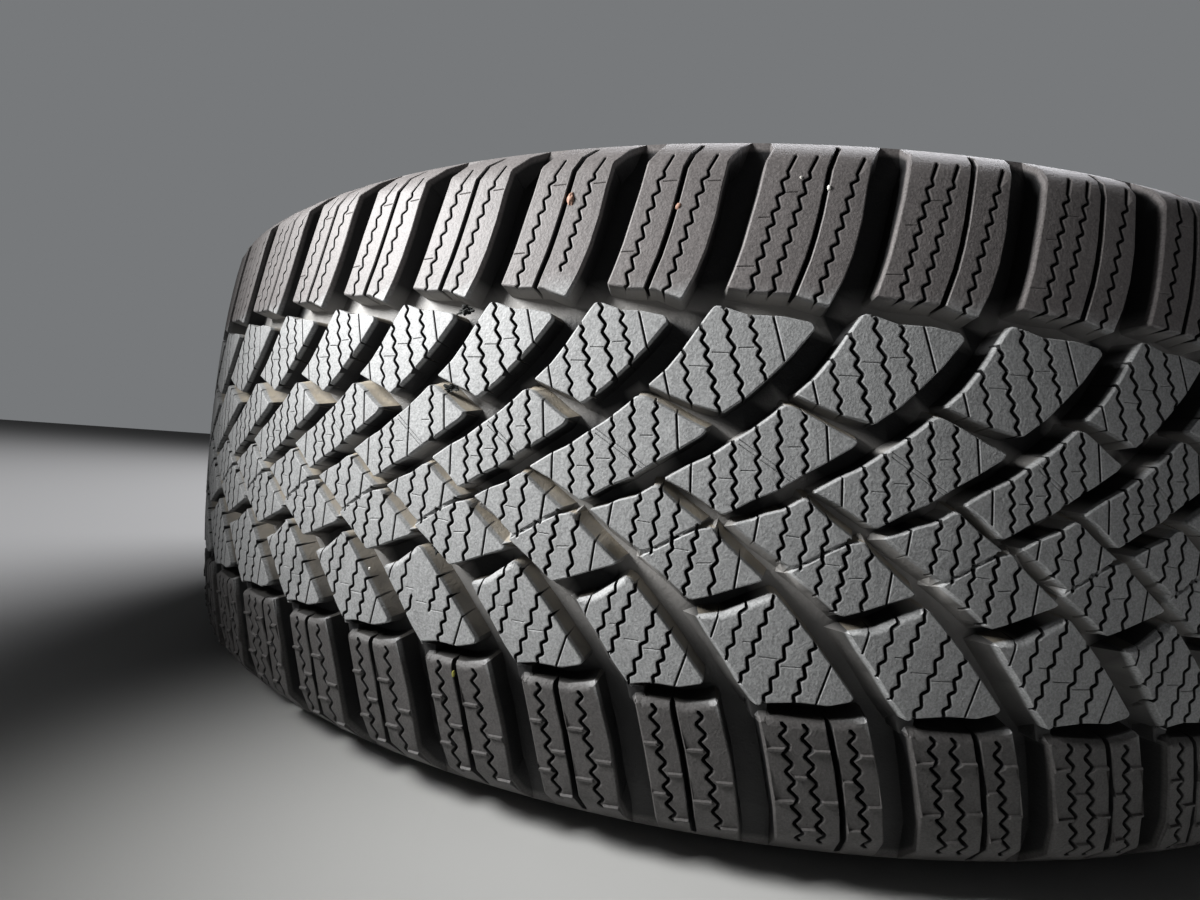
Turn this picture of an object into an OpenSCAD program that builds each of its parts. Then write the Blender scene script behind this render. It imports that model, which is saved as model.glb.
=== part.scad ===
// Old worn car tyre: one vulcanised moulding, hollow, lying on its side.
// Axis +Z, origin at the bottom centre.  Millimetres.

/* [Casing] */
// outside diameter over the worn tread
tyre_diameter = 632; // [520:1:760]
// width over the two sidewalls at their widest
section_width = 202; // [165:1:245]
// diameter of the two bead seats that grip the wheel
bead_diameter = 405.6; // [335:0.1:490]
// width of the tread between its two shoulder edges
tread_width = 181; // [150:1:196]
// distance between the outer faces of the two beads
bead_spacing = 176; // [146:1:200]
// thickness of the crown, tread and belts together
crown_thickness = 14; // [12:0.5:20]
// thickness of the flexing sidewall
sidewall_thickness = 7; // [5:0.5:11]
// how far the worn crown falls away at the tread edges
crown_drop = 7; // [3:0.5:12]

/* [Bead] */
// length of the cylindrical seat in each bead
seat_length = 12; // [8:0.5:16]
// thickness of each bead across the seat, along the axis
bead_width = 22; // [16:0.5:30]
// rounding of the heel and the toe
bead_rounding = 3; // [1:0.5:5]

/* [Tread] */
// depth of the grooves left by wear
groove_depth = 6.5; // [4:0.5:8.5]
// width of the ring groove under the upper shoulder blocks
ring_groove_width = 6.5; // [4:0.5:10]
// height of the ring groove above the mid-plane
ring_groove_height = 45; // [38:0.5:52]
// width of the slanting grooves between the shoulder blocks
shoulder_groove_width = 8.5; // [5:0.5:12]
// width of the long curved grooves
curved_groove_width = 7; // [4:0.5:9]
// width of the narrow grooves that part the inner blocks
narrow_groove_width = 3; // [2:0.25:4]
// how often the run of pitches repeats round the tyre
run_repeats = 5; // [4:1:6]
// length of a long pitch against a short one
long_pitch = 1.168; // [1:0.01:1.3]

/* [Rim band] */
// how far the rim protector stands out of the sidewall
protector_height = 3; // [1:0.5:5]
// height of the rim protector above the bead seat
protector_position = 24; // [18:1:32]

/* [Hidden] */
$fn = 180;

crown_r = tyre_diameter / 2;
bead_r = bead_diameter / 2;
wall_h = crown_r - bead_r;
half = section_width / 2;
edge_z = tread_width / 2;
bead_z = bead_spacing / 2;

// One run of pitches: 0 is short, 1 is long.
RUN = [0, 0, 0, 0, 0, 1, 1, 1, 0, 0, 1, 1];
pitch_count = len(RUN) * run_repeats;
run_total = len([for (k = RUN) if (k == 0) 1]) + long_pitch * len([for (k = RUN) if (k == 1) 1]);
// angle of one short pitch, and millimetres along the crown for one degree
short_angle = 360 / (run_repeats * run_total);
per_degree = PI * crown_r / 180;
// the pattern is drawn for a short pitch of 30.9 mm and scales with it
grow = short_angle * per_degree / 30.9;
first_angle = -121.4;

function size_of(i) = RUN[i % len(RUN)] == 1 ? long_pitch : 1;
function start_of(i) = i <= 0 ? 0 : start_of(i - 1) + size_of(i - 1);
function angle_of(i) = first_angle + short_angle * start_of(i);

// Crown radius at a height above the mid-plane.
function crown(z) =
    let (t = abs(z) / edge_z) crown_r - crown_drop * (0.7 * pow(t, 2) + 0.3 * pow(t, 4));

// Outer outline of the upper half, from the crown's middle to the bead heel.
function outer_half() = concat(
    [for (t = [0.12, 0.34, 0.6, 0.8, 0.93]) [crown(t * edge_z), t * edge_z]],
    [
        [crown(edge_z) - 0.036 * wall_h, edge_z],
        [crown_r - 0.143 * wall_h, edge_z + 0.31 * (half - edge_z)],
        [crown_r - 0.2 * wall_h, edge_z + 0.53 * (half - edge_z)],
        [crown_r - 0.3 * wall_h, edge_z + 0.8 * (half - edge_z)],
        [crown_r - 0.38 * wall_h, edge_z + 0.95 * (half - edge_z)],
        [crown_r - 0.44 * wall_h, half],
        [crown_r - 0.56 * wall_h, half],
        [crown_r - 0.68 * wall_h, bead_z + 0.80 * (half - bead_z)],
        [bead_r + protector_position + 5, bead_z + 0.55 * (half - bead_z)],
        [bead_r + protector_position + 2, bead_z + 0.52 * (half - bead_z) + protector_height],
        [bead_r + protector_position - 2, bead_z + 0.46 * (half - bead_z) + protector_height],
        [bead_r + protector_position - 6, bead_z + 0.2 * (half - bead_z)],
        [bead_r + 2.2 * bead_rounding, bead_z],
        [bead_r + 0.9 * bead_rounding, bead_z - 0.5 * bead_rounding],
        [bead_r, bead_z - 2 * bead_rounding],
        [bead_r, bead_z - 2 * bead_rounding - seat_length],
        [bead_r + 0.9 * bead_rounding, bead_z - bead_width],
    ]
);

// Inner outline of the same half, from the bead toe back to the crown's middle.
function inner_half() = [
    [bead_r + 3 * bead_rounding, bead_z - bead_width + 1],
    [bead_r + 0.22 * wall_h, bead_z - 0.62 * bead_width],
    [bead_r + 0.34 * wall_h, half - sidewall_thickness - 3.5],
    [crown_r - 0.52 * wall_h, half - sidewall_thickness],
    [crown_r - 0.40 * wall_h, half - sidewall_thickness - 0.5],
    [crown_r - 0.29 * wall_h, half - sidewall_thickness - 4],
    [crown_r - 0.215 * wall_h, half - sidewall_thickness - 11],
    [crown(edge_z) - crown_thickness + 5, edge_z - 15],
    [crown(0.6 * edge_z) - crown_thickness, 0.62 * edge_z],
    [crown(0.3 * edge_z) - crown_thickness, 0.3 * edge_z],
];

function flip(pts) = [for (i = [len(pts) - 1:-1:0]) [pts[i][0], -pts[i][1]]];

module section() {
    up = concat(outer_half(), inner_half());
    polygon(concat(up, flip(up)));
}

// The ring groove under the upper shoulder blocks, with sloping walls.
module ring_groove() {
    z = ring_groove_height;
    w = ring_groove_width / 2;
    floor_r = crown(z) - groove_depth;
    rotate_extrude()
        polygon([
            [floor_r, z - w + 0.6], [floor_r, z + w - 0.6],
            [crown_r + 1, z + w + 1], [crown_r + 1, z - w - 1],
        ]);
}

// A groove along a centre line of points [along, height, width].  Its floor is
// flat, tilted to follow the crown, and lies groove_depth under it.
function side_step(line, i) =
    let (
        a = line[max(i - 1, 0)],
        b = line[min(i + 1, len(line) - 1)],
        d = [b[0] - a[0], b[1] - a[1]]
    ) [-d[1], d[0]] / norm(d);

function edge_points(line, side) = [
    for (i = [0:len(line) - 1])
        let (n = side_step(line, i), p = line[i])
            [(p[0] + side * n[0] * p[2] / 2) * grow, p[1] + side * n[1] * p[2] / 2]
];

function turned(pts) = [for (i = [len(pts) - 1:-1:0]) pts[i]];

module groove(line) {
    last = line[len(line) - 1];
    mid = (line[0][0] + last[0]) / 2 * grow;
    za = max(min(line[0][1], edge_z), -edge_z);
    zb = max(min(last[1], edge_z), -edge_z);
    zm = (za + zb) / 2;
    floor_r = (crown(za) + crown(zb)) / 2 - groove_depth;
    tilt = atan((crown(zb) - crown(za)) / (zb - za));
    outline = concat(edge_points(line, 1), turned(edge_points(line, -1)));
    rotate([0, 0, mid / per_degree])
        translate([floor_r, 0, zm])
            rotate([90, 0, 90])
                rotate([tilt, 0, 0])
                    linear_extrude(height = 2 * groove_depth + crown_drop)
                        polygon([for (p = outline) [p[0] - mid, p[1] - zm]]);
}

w1 = shoulder_groove_width;
w2 = curved_groove_width;
w3 = narrow_groove_width;
e = edge_z + 4;

// Centre lines of one pitch: along the tread, height, width.
UPPER = [[15.5, 44, w1], [17.5, 50, w1], [21, 62, w1 - 0.7], [25, 78, w1 - 1.5], [29, e, 1.5]];
RISING = [[15, 44, w2 - 0.5], [12, 40, w2 - 0.5], [3, 28, w2], [-11, 14.5, w2], [-20, 7, w2 - 0.5], [-30.5, -0.5, w2 - 1]];
TAIL = [[-28, 1, w3 + 0.5], [-38.5, -5, w3 + 0.5], [-45, -8.5, w3]];
FALLING = [[-27, 0.5, w3 - 0.3], [-18, -4.7, w3], [-11.5, -9.3, w3 + 2], [-5.5, -13, w2 - 1], [6, -21.7, w2], [12, -27.5, w2 + 0.5]];
FOOT = [[9, -24.5, w2], [20, -35, w2 + 0.8], [29.5, -47, w2 + 1], [33, -53, w1], [37, -67, w1], [40, -79, w1 - 0.5], [42.5, -e, 2]];
INNER_GAP = [[1.5, 23, w3], [9, 20.2, w3], [22, 15.5, w3]];
OUTER_GAP = [[4, -22.6, w3], [-3, -25.7, w3], [-16, -31, w3]];
FOOT_GAP = [[28, -50.2, w3], [18, -53, w3 + 0.5], [1.5, -55.5, w3 + 0.5]];

PATTERN = [UPPER, RISING, TAIL, FALLING, FOOT, INNER_GAP, OUTER_GAP, FOOT_GAP];

module tread_grooves() {
    for (i = [0:pitch_count - 1])
        rotate([0, 0, angle_of(i)])
            for (line = PATTERN)
                groove(line);
}

module tyre() {
    color([0.16, 0.155, 0.15])
        translate([0, 0, half])
            difference() {
                rotate_extrude() section();
                ring_groove();
                tread_grooves();
            }
}

tyre();
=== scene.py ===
"""An old worn winter tyre lying on its side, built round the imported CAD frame.

The tread is drawn on a flat strip (distance along the tyre, height above its
mid-plane) as blocks, slits and bars.  One run of twelve pitches is cut into
triangles along those lines, given its relief, rolled round the crown and
repeated five times.  The casing is a surface of revolution that joins it.
"""

from __future__ import annotations

import logging
from dataclasses import dataclass, field
from enum import Enum

import bpy
import numpy as np
from mathutils import Matrix, Vector
from mathutils.geometry import delaunay_2d_cdt

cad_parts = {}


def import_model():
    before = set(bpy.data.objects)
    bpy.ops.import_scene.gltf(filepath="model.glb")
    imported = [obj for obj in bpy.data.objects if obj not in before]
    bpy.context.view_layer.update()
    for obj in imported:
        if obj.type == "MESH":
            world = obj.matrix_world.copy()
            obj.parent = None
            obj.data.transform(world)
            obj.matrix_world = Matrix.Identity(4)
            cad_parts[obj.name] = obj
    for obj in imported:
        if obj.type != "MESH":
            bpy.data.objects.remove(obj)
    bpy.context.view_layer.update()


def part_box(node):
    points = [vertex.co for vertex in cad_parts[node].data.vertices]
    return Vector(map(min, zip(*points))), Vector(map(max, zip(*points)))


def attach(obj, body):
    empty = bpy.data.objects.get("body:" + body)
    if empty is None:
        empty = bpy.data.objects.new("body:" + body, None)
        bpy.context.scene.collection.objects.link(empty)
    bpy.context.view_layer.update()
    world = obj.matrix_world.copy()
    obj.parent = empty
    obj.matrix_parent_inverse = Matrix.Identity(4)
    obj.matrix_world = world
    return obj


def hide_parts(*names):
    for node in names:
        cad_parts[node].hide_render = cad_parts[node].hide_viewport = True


LOG = logging.getLogger("tyre")
MM = 0.001
UP = np.array([0.0, 0.0, 1.0])
TINY = 1e-12  # keeps a division by a length in millimetres from failing
TINY_AREA = 1e-20  # the same for an area in square metres
Array = np.ndarray
Triple = tuple[float, float, float]


# --------------------------------------------------------------------------
# Sizes
# --------------------------------------------------------------------------
@dataclass(frozen=True)
class TyreSize:
    """Main sizes of the tyre in millimetres.

    Args:
        radius: outside radius at the middle of the crown.
        half_width: half of the section width.
        bead_radius: radius of the bead seats.
        edge: height of the tread's own edge above the mid-plane.
        groove_depth: depth of the main grooves of the worn tread.
        short_pitch: length of a short pitch along the crown.
        long_pitch: length of a long pitch along the crown.
        repeats: how many times the run of pitches goes round.
        first_line: place of the first pitch's line along the crown.
        bend: curvature of the crown at its middle, per millimetre.
        droop: fall of the crown's fourth-power term at a height of 100.
        shoulder: height past which the blocks round over to the sidewall.
        shoulder_fall: fall of that rounding in its first millimetre.
        shoulder_power: how quickly that fall grows.
    """

    radius: float
    half_width: float
    bead_radius: float = 202.8
    edge: float = 94.5
    groove_depth: float = 7.0
    short_pitch: float = 30.9
    long_pitch: float = 36.1
    repeats: int = 5
    first_line: float = -173.9
    bend: float = 1.202e-3
    droop: float = 2.97
    shoulder: float = 83.0
    shoulder_fall: float = 0.175
    shoulder_power: float = 1.633

    @classmethod
    def from_box(cls, low: Vector, high: Vector) -> TyreSize:
        """Reads the radius and width from the CAD node's box."""
        return cls(radius=float(high.x - low.x) / 2 / MM, half_width=float(high.z - low.z) / 2 / MM)

    def crown(self, z: Array) -> Array:
        """Radius of the worn tread at a height above the mid-plane.

        A flat parabola with a fourth-power term, less a quick fall past the
        shoulder line where the blocks round over to the sidewall.

        Args:
            z: heights above the mid-plane.

        Returns:
            The radius at each height.
        """
        a = np.abs(np.asarray(z, float))
        past = np.clip(a - self.shoulder, 0.0, None)
        crown = self.radius - self.bend * a**2 / 2 - self.droop * (a / 100) ** 4
        return crown - self.shoulder_fall * past**self.shoulder_power

    def crown_slope(self, z: Array) -> Array:
        """Change of the crown radius per millimetre of height."""
        step = 0.05
        return (self.crown(np.asarray(z) + step) - self.crown(np.asarray(z) - step)) / (2 * step)

    def pitch_length(self, kind: PitchKind) -> float:
        """Length of a pitch of one kind."""
        return self.long_pitch if kind is PitchKind.LONG else self.short_pitch


class PitchKind(Enum):
    """The two pitch lengths of the tread."""

    SHORT = "S"
    LONG = "L"


RUN = [PitchKind(c) for c in "SSSSSLLLSSLL"]
WORN_PITCH = 3  # the pitch of the run on which wear has closed some sipes
WIDE_SLIT = 0.5  # half width past which a slit has a flat floor
CORNER = 0.45  # length cut back from a block's corner
BLOCK_REACH = 5.0  # no wall of a block goes further out than this
BAR_REACH = 0.5  # no side of a bar goes further out than this
BAR_FOOT = -0.35  # bars stand on a top, and nothing lower than this is one


# --------------------------------------------------------------------------
# Pattern elements on the flat strip
# --------------------------------------------------------------------------
@dataclass(frozen=True)
class EdgeStyle:
    """Cross-section of a block's edge.

    Args:
        chamfer: width of the rounded lip inside the outline.
        drop: how far the lip falls.
        wall: width taken by the sloping wall outside the outline.
    """

    chamfer: float
    drop: float
    wall: float


STYLES = {
    "e": EdgeStyle(0.32, 0.24, 0.75),  # plain edge
    "l": EdgeStyle(0.55, 0.38, 0.85),  # leading edge, scuffed rounder
    "b": EdgeStyle(1.8, 1.20, 0.7),  # broad bevel
    "g": EdgeStyle(0.35, 0.28, 3.5),  # gentle wall of the long grooves
    "d": EdgeStyle(0.35, 0.28, 2.3),  # half-gentle wall
    "t": EdgeStyle(2.2, 1.25, 0.8),  # sloping top of the lower shoulder
}


@dataclass(frozen=True)
class Pitch:
    """One pitch: where its line lies and how long it is.

    Args:
        line: distance of its line along the crown.
        length: distance to the next pitch's line.
        kind: short or long.
        worn: True if wear has closed some sipes of its upper blocks.
        worn_foot: True if wear has closed parts of two sipes of its row F.
    """

    line: float
    length: float
    kind: PitchKind
    worn: bool
    worn_foot: bool

    def place(self, points: list[tuple]) -> Array:
        """Turns (offset, height, share of the pitch) rows into (along, height) rows."""
        rows = np.array([p[:3] for p in points], float)
        return np.column_stack([self.line + rows[:, 0] + rows[:, 2] * self.length, rows[:, 1]])


def turned_steps(points: Array, closed: bool) -> Array:
    """Normals to the left of a polyline, averaged and stretched at its corners.

    Args:
        points: the polyline's points in order.
        closed: True if the last point joins the first.

    Returns:
        One normal per point, as long as a parallel line's corner needs.
    """
    if closed:
        before, after = np.roll(points, 1, 0), np.roll(points, -1, 0)
    else:
        before = np.vstack([2 * points[0] - points[1], points[:-1]])
        after = np.vstack([points[1:], 2 * points[-1] - points[-2]])
    one = (points - before) / (np.linalg.norm(points - before, axis=1)[:, None] + TINY)
    two = (after - points) / (np.linalg.norm(after - points, axis=1)[:, None] + TINY)
    both = one + two
    both /= np.linalg.norm(both, axis=1)[:, None] + TINY
    normal = np.column_stack([-both[:, 1], both[:, 0]])
    stretch = 1 / np.clip(np.sum(both * one, axis=1), 0.55, 1)
    return normal * stretch[:, None]


def nearest_on(points: Array, start: Array, end: Array) -> tuple[Array, Array, Array]:
    """Distance from points to the nearest of many segments.

    Args:
        points: the points, one per row.
        start: first end of each segment.
        end: second end of each segment.

    Returns:
        The distance, the index of the segment and how far along it (0 to 1).
    """
    step = end - start
    long2 = np.sum(step**2, axis=1) + TINY
    away = points[:, None, :] - start[None]
    share = np.clip(np.sum(away * step[None], axis=2) / long2[None], 0, 1)
    gap = np.linalg.norm(away - share[..., None] * step[None], axis=2)
    best = np.argmin(gap, axis=1)
    rows = np.arange(len(points))
    return gap[rows, best], best, share[rows, best]


def inside(points: Array, ring: Array) -> Array:
    """Tests points against a closed ring, by counting its crossings.

    Args:
        points: the points, one per row.
        ring: the ring's corners in order.

    Returns:
        True for each point that lies inside.
    """
    x, y = points[:, 0:1], points[:, 1:2]
    x0, y0 = ring[:, 0], ring[:, 1]
    x1, y1 = np.roll(x0, -1), np.roll(y0, -1)
    spans = (y0 > y) != (y1 > y)
    slope = np.where(np.abs(y1 - y0) < TINY, TINY, y1 - y0)
    return np.sum(spans & (x < (x1 - x0) * (y - y0) / slope + x0), axis=1) % 2 == 1


@dataclass
class Block:
    """A tread block: a flat top with a lip, and walls down to the groove.

    Args:
        ring: corners of its outline.
        sizes: chamfer, drop and wall of the side that follows each corner.
        top: height of its top above the worn tread.
    """

    ring: Array
    sizes: Array
    top: float

    @classmethod
    def from_rows(cls, pitch: Pitch, rows: list[tuple], top: float) -> Block:
        """Builds a block from rows of (offset, height, share, style letter).

        Corners are cut back a little, and each corner keeps the style of the
        side that follows it.

        Args:
            pitch: the pitch that the offsets and shares are measured on.
            rows: the outline's corners in order.
            top: height of the block's top above the worn tread.

        Returns:
            The block, with its outline turned anticlockwise.
        """
        pts = pitch.place(rows)
        styles = [STYLES[row[3]] for row in rows]
        size = np.array([[style.chamfer, style.drop, style.wall] for style in styles])
        after = np.roll(pts, -1, 0)
        span = np.linalg.norm(after - pts, axis=1)
        cut = np.minimum(CORNER, 0.25 * span) / span
        first = pts + (after - pts) * cut[:, None]
        last = after - (after - pts) * cut[:, None]
        ring = np.stack([first, last], 1).reshape(-1, 2)
        sizes = np.repeat(size, 2, axis=0)
        following = np.roll(ring, -1, 0)
        if np.sum(ring[:, 0] * following[:, 1] - following[:, 0] * ring[:, 1]) < 0:
            ring, sizes = ring[::-1].copy(), sizes[::-1].copy()
        return cls(ring, sizes, top)

    def lines(self) -> list[tuple[Array, bool]]:
        """Closed lines that the surface has to follow.

        Returns:
            The lip's inner line, its middle, the outline and the wall's foot.
        """
        out = -turned_steps(self.ring, True)
        c, w = self.sizes[:, 0:1], self.sizes[:, 2:3]
        return [(self.ring + out * o, True) for o in (-c, -0.45 * c, 0 * c, w)]

    @staticmethod
    def profile(away: Array, size: Array, full: Array) -> Array:
        """Height at a signed distance from an edge, positive outside.

        The lip falls as a power of the way across it, and the wall falls
        straight from the lip to the groove floor.

        Args:
            away: distance from the edge, negative inside the outline.
            size: chamfer, drop and wall at each point.
            full: depth of the groove below the top at each point.

        Returns:
            The height of each point, relative to the block's top.
        """
        chamfer, drop, wall = np.moveaxis(size, -1, 0)
        lip = -drop * np.clip(1 + away / chamfer, 0, 1) ** 1.8
        fall = -drop - (full - drop) * np.clip(away / wall, 0, 1)
        return np.where(away < 0, lip, fall)

    def relief(self, points: Array, depth: Array) -> Array:
        """Height of the block at points near it, relative to the tread.

        Each point takes the profile of its nearest edge.  Past a corner that
        points outwards the walls of both sides go on and meet in a mitre, so
        the lower of them counts.

        Args:
            points: the points, as (along, height) rows.
            depth: groove depth at each point.

        Returns:
            The height of each point, relative to the worn tread.
        """
        start = self.ring
        end = np.roll(start, -1, 0)
        way = end - start
        way /= np.linalg.norm(way, axis=1)[:, None]
        out = np.column_stack([way[:, 1], -way[:, 0]])
        after = np.roll(way, -1, 0)
        juts = way[:, 0] * after[:, 1] - way[:, 1] * after[:, 0] > 1e-6
        size = (self.sizes + np.roll(self.sizes, -1, 0)) / 2
        gap, seg, share = nearest_on(points, start, end)
        inner = inside(points, self.ring)
        full = depth + self.top
        count = len(start)
        past = ((share >= 1) & juts[seg]) | ((share <= 0) & juts[seg - 1])
        level = np.sum((points - start[seg]) * out[seg], axis=1)
        height = self.profile(np.where(inner, -gap, np.where(past, level, gap)), size[seg], full)
        for hop in (-2, -1, 1, 2):
            other = (seg + hop) % count
            if hop > 0:
                joined = juts[seg] & (juts[(seg + 1) % count] | (hop == 1))
            else:
                joined = juts[seg - 1] & (juts[seg - 2] | (hop == -1))
            level = np.sum((points - start[other]) * out[other], axis=1)
            lower = np.minimum(height, self.profile(level, size[other], full))
            height = np.where(~inner & joined & (level > 0), lower, height)
        return self.top + height


@dataclass
class Slit:
    """A sipe or narrow groove along an open line.

    Args:
        line: points of its middle line.
        half: half of its width.
        rim: width of the rounded rim beside it.
        depth: how deep it is cut.
        rim_drop: how far the rim falls.
    """

    line: Array
    half: float
    rim: float
    depth: float
    rim_drop: float

    def lines(self) -> list[tuple[Array, bool]]:
        """Lines that the surface has to follow, each with True if it is closed.

        Returns:
            Closed outlines of the rim and the cut, then open lines along the floor.
        """
        side = turned_steps(self.line, False)
        start = (self.line[0] - self.line[1]) / np.linalg.norm(self.line[0] - self.line[1])
        end = (self.line[-1] - self.line[-2]) / np.linalg.norm(self.line[-1] - self.line[-2])
        out = []
        for reach in (self.half + self.rim, self.half):
            first, last = self.line[0] + start * reach, self.line[-1] + end * reach
            left, right = self.line + side * reach, self.line - side * reach
            out.append((np.vstack([first, left, last, right[::-1]]), True))
        floor = (-0.5 * self.half, 0.5 * self.half) if self.half > WIDE_SLIT else (0.0,)
        return out + [(self.line + side * e, False) for e in floor]

    def relief(self, points: Array, depth: Array) -> Array:
        """Height inside the slit: a rounded rim, then a steep narrow cut.

        Args:
            points: the points, as (along, height) rows.
            depth: groove depth at each point; the slit runs out where it does.

        Returns:
            The height of each point, relative to the worn tread.
        """
        gap, _, _ = nearest_on(points, self.line[:-1], self.line[1:])
        across = np.clip((self.half + self.rim - gap) / max(self.rim, 1e-6), 0, 1)
        rim = -self.rim_drop * across**1.7
        floor = 0.5 * self.half if self.half > WIDE_SLIT else 0.0
        cut = np.clip((self.half - gap) / max(self.half - floor, 1e-6), 0, 1)
        fade = np.clip(depth / 4.0, 0, 1)
        return (rim - (self.depth - self.rim_drop) * cut) * fade


@dataclass
class Bar:
    """A low raised bar across a block's top.

    Args:
        line: points of its middle line.
        half: half of the width of its flat top.
        rise: height above the block's top.
        slope: width of each sloping side.
    """

    line: Array
    half: float = 0.3
    rise: float = 0.6
    slope: float = 0.2

    def lines(self) -> list[tuple[Array, bool]]:
        """Lines that the surface has to follow, each with True if it is closed.

        Returns:
            Open lines along both feet and both top edges.
        """
        side = turned_steps(self.line, False)
        foot = self.half + self.slope
        return [(self.line + side * e, False) for e in (-foot, -self.half, self.half, foot)]

    def relief(self, points: Array) -> Array:
        """Added height of the bar, with sloping sides."""
        gap, _, _ = nearest_on(points, self.line[:-1], self.line[1:])
        return self.rise * np.clip((self.half + self.slope - gap) / self.slope, 0, 1)


def zigzag(start: Array, end: Array, swing: float, period: float) -> Array:
    """A zigzag from start to end, with rounded bends.

    Args:
        start: its first point.
        end: its last point.
        swing: distance from the middle line to each bend.
        period: length of one full wave.

    Returns:
        The points of the zigzag.
    """
    way = end - start
    span = float(np.linalg.norm(way))
    way = way / span
    side = np.array([-way[1], way[0]])
    waves = max(1, round(span / period))
    # Share of one wave, then share of the swing: a long stroke over 62 % of the wave, a short
    # stroke back, and rounded bends between them.
    bends = np.array([(0.23, 0.80), (0.31, 0.97), (0.39, 0.70),
                      (0.61, -0.70), (0.69, -0.97), (0.77, -0.80)])
    at = ((np.arange(waves)[:, None] + bends[None, :, 0]) / waves).ravel()
    at = np.concatenate([[0.0], at, [1.0]]) * span
    off = np.concatenate([[0.0], np.tile(bends[:, 1], waves), [0.0]]) * swing
    return start + way * at[:, None] + side * off[:, None]


# --------------------------------------------------------------------------
# The pattern of one pitch
# --------------------------------------------------------------------------
# Sides of the shoulder blocks as (offset from the pitch's line, height).
UPPER_LEFT = [(22.0, 49.8), (23.6, 55), (25.2, 61), (26.8, 69),
              (28.2, 76), (29.4, 84), (31.6, 90), (33, 97)]
UPPER_RIGHT = [(11.0, 46.3), (14.0, 53), (16.2, 60), (18.0, 69),
               (18.9, 77), (20.0, 84), (23.0, 90), (28.0, 97)]
LOWER_LEFT = [(38.4, -55.4), (39.4, -59), (41.6, -67), (44.1, -77), (46.0, -87), (47.0, -97)]
LOWER_RIGHT = [(28.1, -52.6), (30.4, -60), (32.7, -67), (34.6, -75),
               (36.3, -84), (37.8, -91), (40.5, -97)]

WAVE, LOWER_WAVE = 4.3, 4.6  # length of one wave of a zigzag sipe
ROW_SWING, UPPER_SWING, LOWER_SWING = 0.62, 0.72, 0.95  # its swing to each side
SIPE_PAST, CUT_PAST = 1.4, 1.2  # how far a sipe or cut runs out of its block
# Half width, rim, depth and fall of the rim of the slits that are alike in every pitch.
UPPER_SLOT = (0.62, 0.3, 6.0, 0.3)
LOWER_SLOT = (0.72, 0.3, 6.0, 0.3)
UPPER_SIPE = (0.38, 0.4, 4.2, 0.16)
LOWER_SIPE = (0.44, 0.35, 4.2, 0.2)
HAIRLINE = (0.10, 0.16, 0.45, 0.1)
# The same of the slits whose half width is given one by one.
ROW_SIPE = (0.4, 4.2, 0.16)
CUT_RIM, CUT_FALL = 0.25, 0.12
# How the dust lies: the way that dusty walls face, along and up.  Then the width of the fading edge of the
# painted light on groove floors.
FACE_ALONG, FACE_UP = 0.45, 0.89
LIGHT_EDGE = 1.5
STEP_TOP = -2.2  # height of the small step between row F and the lower shoulder


def along(line: list[tuple], z: float) -> float:
    """Offset of a listed edge at a height."""
    rows = sorted(line, key=lambda p: p[1])
    return float(np.interp(z, [p[1] for p in rows], [p[0] for p in rows]))


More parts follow.
